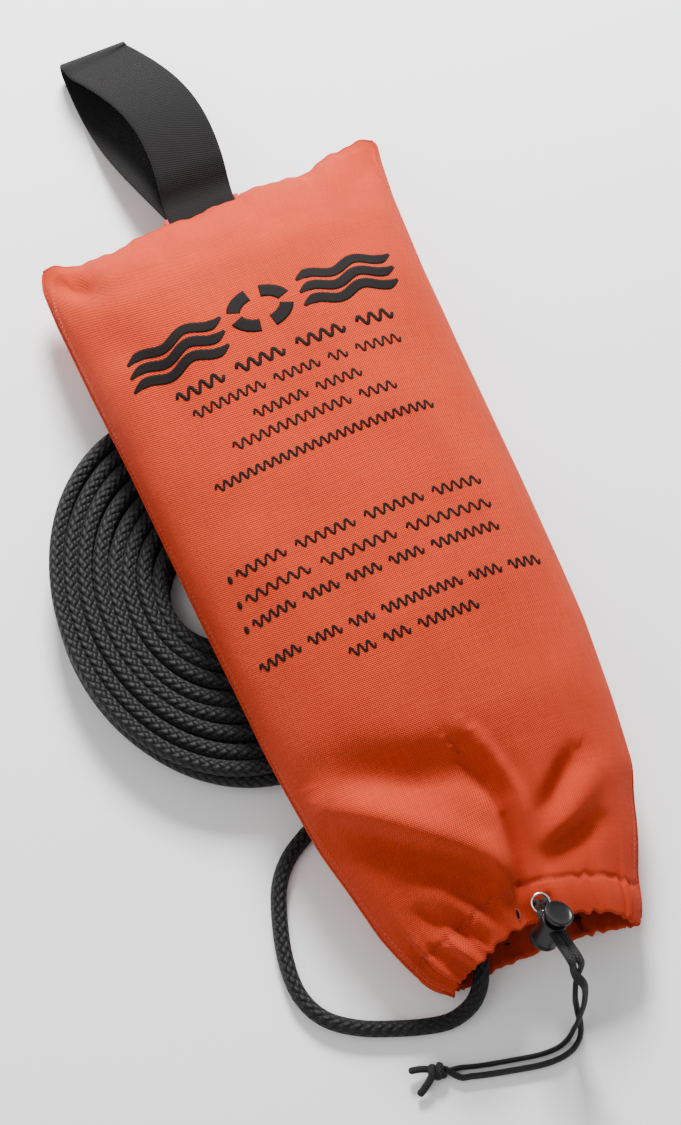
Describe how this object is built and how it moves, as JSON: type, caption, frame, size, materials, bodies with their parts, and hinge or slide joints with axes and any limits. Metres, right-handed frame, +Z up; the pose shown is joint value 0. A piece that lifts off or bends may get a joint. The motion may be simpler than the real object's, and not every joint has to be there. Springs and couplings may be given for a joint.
{
  "type": "throw rope bag",
  "caption": "Orange drawstring bag of pack cloth with a webbing hand loop, a sprung cord lock at its gathered mouth and a black rescue line paid out in a coil beneath it.",
  "frame": {"origin": "on the floor, under the middle of the bag with its handle and cord lock", "axes": "+Y from the gathered mouth to the closed end and its handle, +X to the right seen from above with the closed end up, +Z up from the floor through the printed face"},
  "size_m": [0.3108, 0.7068, 0.0877],
  "materials": {
    "pack_cloth": "coated woven polyester, matt",
    "seam_cloth": "folded and stitched coated cloth, matt",
    "thread": "lock-stitched polyester thread",
    "webbing": "flat woven webbing, slight sheen",
    "rope": "hollow-braided polypropylene, slight sheen",
    "drawcord": "flat braided cord, matt",
    "black_plastic": "moulded, semi-gloss",
    "steel": "bright wire"
  },
  "bodies": {
    "bag": {"front_panel": "pack_cloth", "back_panel": "pack_cloth", "side_seam_left": "seam_cloth", "side_seam_right": "seam_cloth", "end_seam": "seam_cloth", "front_hem": "seam_cloth", "back_hem": "seam_cloth", "side_stitch_left": "thread", "side_stitch_right": "thread", "end_stitch": "thread", "front_hem_stitch": "thread", "back_hem_stitch": "thread", "grommet": "steel", "handle_tab": "webbing", "anchor_loop": "webbing", "anchor_rope": "rope", "stowed_rope": "rope", "rope_lead": "rope", "rope_coil": "rope", "drawcord_in_hem": "drawcord", "drawcord_tail_a": "drawcord", "drawcord_tail_b": "drawcord", "drawcord_knot": "drawcord"},
    "handle": {"handle_loop": "webbing"},
    "lock": {"lock_barrel": "black_plastic", "lock_spring": "steel"},
    "button": {"lock_button": "black_plastic"}
  },
  "joints": [
    {"name": "handle_fold", "type": "hinge", "parent": "bag", "child": "handle", "pos_m": [-0.003, 0.2055, 0.02756], "axis": [1, 0, 0], "range_deg": [0, 110]},
    {"name": "lock_slide", "type": "slide", "parent": "bag", "child": "lock", "axis": [0.0945, -0.9777, 0.1875], "range_m": [0, 0.01]},
    {"name": "lock_press", "type": "slide", "parent": "lock", "child": "button", "axis": [-0.44, -0.21, -0.8731], "range_m": [0, 0.004], "stiffness_N_per_m": 600, "springref_m": -0.003, "deforming": ["lock_spring"]}
  ]
}
